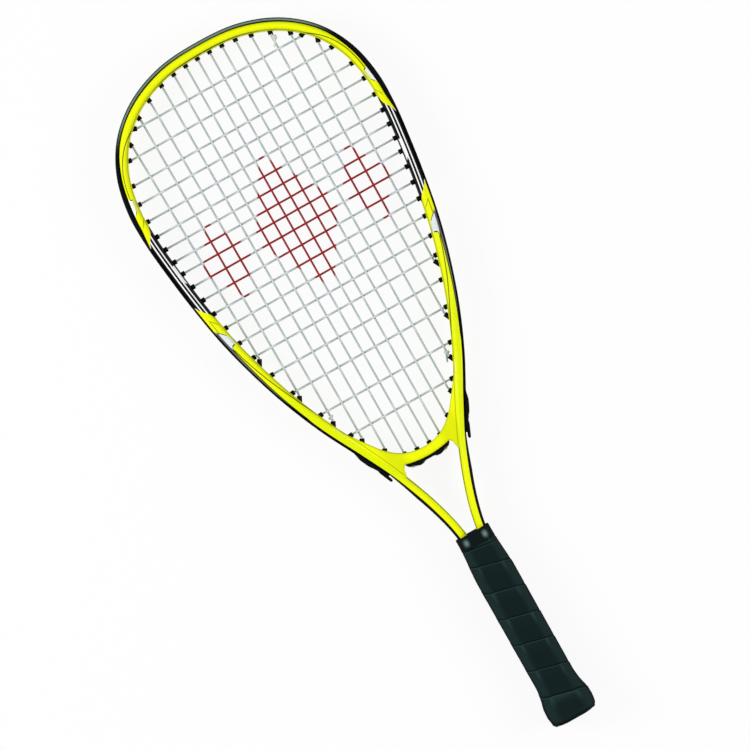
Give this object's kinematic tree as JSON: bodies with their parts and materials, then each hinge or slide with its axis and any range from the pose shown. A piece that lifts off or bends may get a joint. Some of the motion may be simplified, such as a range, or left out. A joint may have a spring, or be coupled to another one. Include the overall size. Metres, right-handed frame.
{
  "type": "racquetball racket",
  "caption": "Racquetball racket: teardrop hoop of hollow tube with an open throat, woven string bed, grommet strips and a wound, flared eight-sided grip.",
  "frame": {"origin": "centre of the butt cap's end face, in the plane of the strings", "axes": "+Y from the butt to the tip of the head, +X across the head, +Z square to the strings, out of the face that the picture shows"},
  "size_m": [0.208, 0.5588, 0.0335],
  "materials": {
    "yellow_lacquer": "gloss",
    "yellow_moulding": "gloss",
    "slate_strip": "satin",
    "black_strip": "satin",
    "string": "gloss",
    "pallet_foam": "matte",
    "cap_plastic": "satin",
    "staple_steel": "satin",
    "grip": "matte",
    "tape": "satin",
    "collar_rubber": "gloss"
  },
  "bodies": {
    "root": {"frame_tube": "yellow_lacquer", "throat_bridge": "yellow_moulding", "bumper_guard": "slate_strip", "side_strip_left": "black_strip", "side_strip_right": "black_strip", "throat_clip_left": "black_strip", "throat_clip_right": "black_strip", "bridge_strip": "black_strip", "main_string": "string", "cross_string": "string", "pallet_front": "pallet_foam", "pallet_back": "pallet_foam", "butt_cap": "cap_plastic", "cap_staple_front": "staple_steel", "cap_staple_back": "staple_steel", "grip_wrap": "grip", "finishing_tape": "tape", "grip_collar": "collar_rubber"}
  },
  "joints": []
}
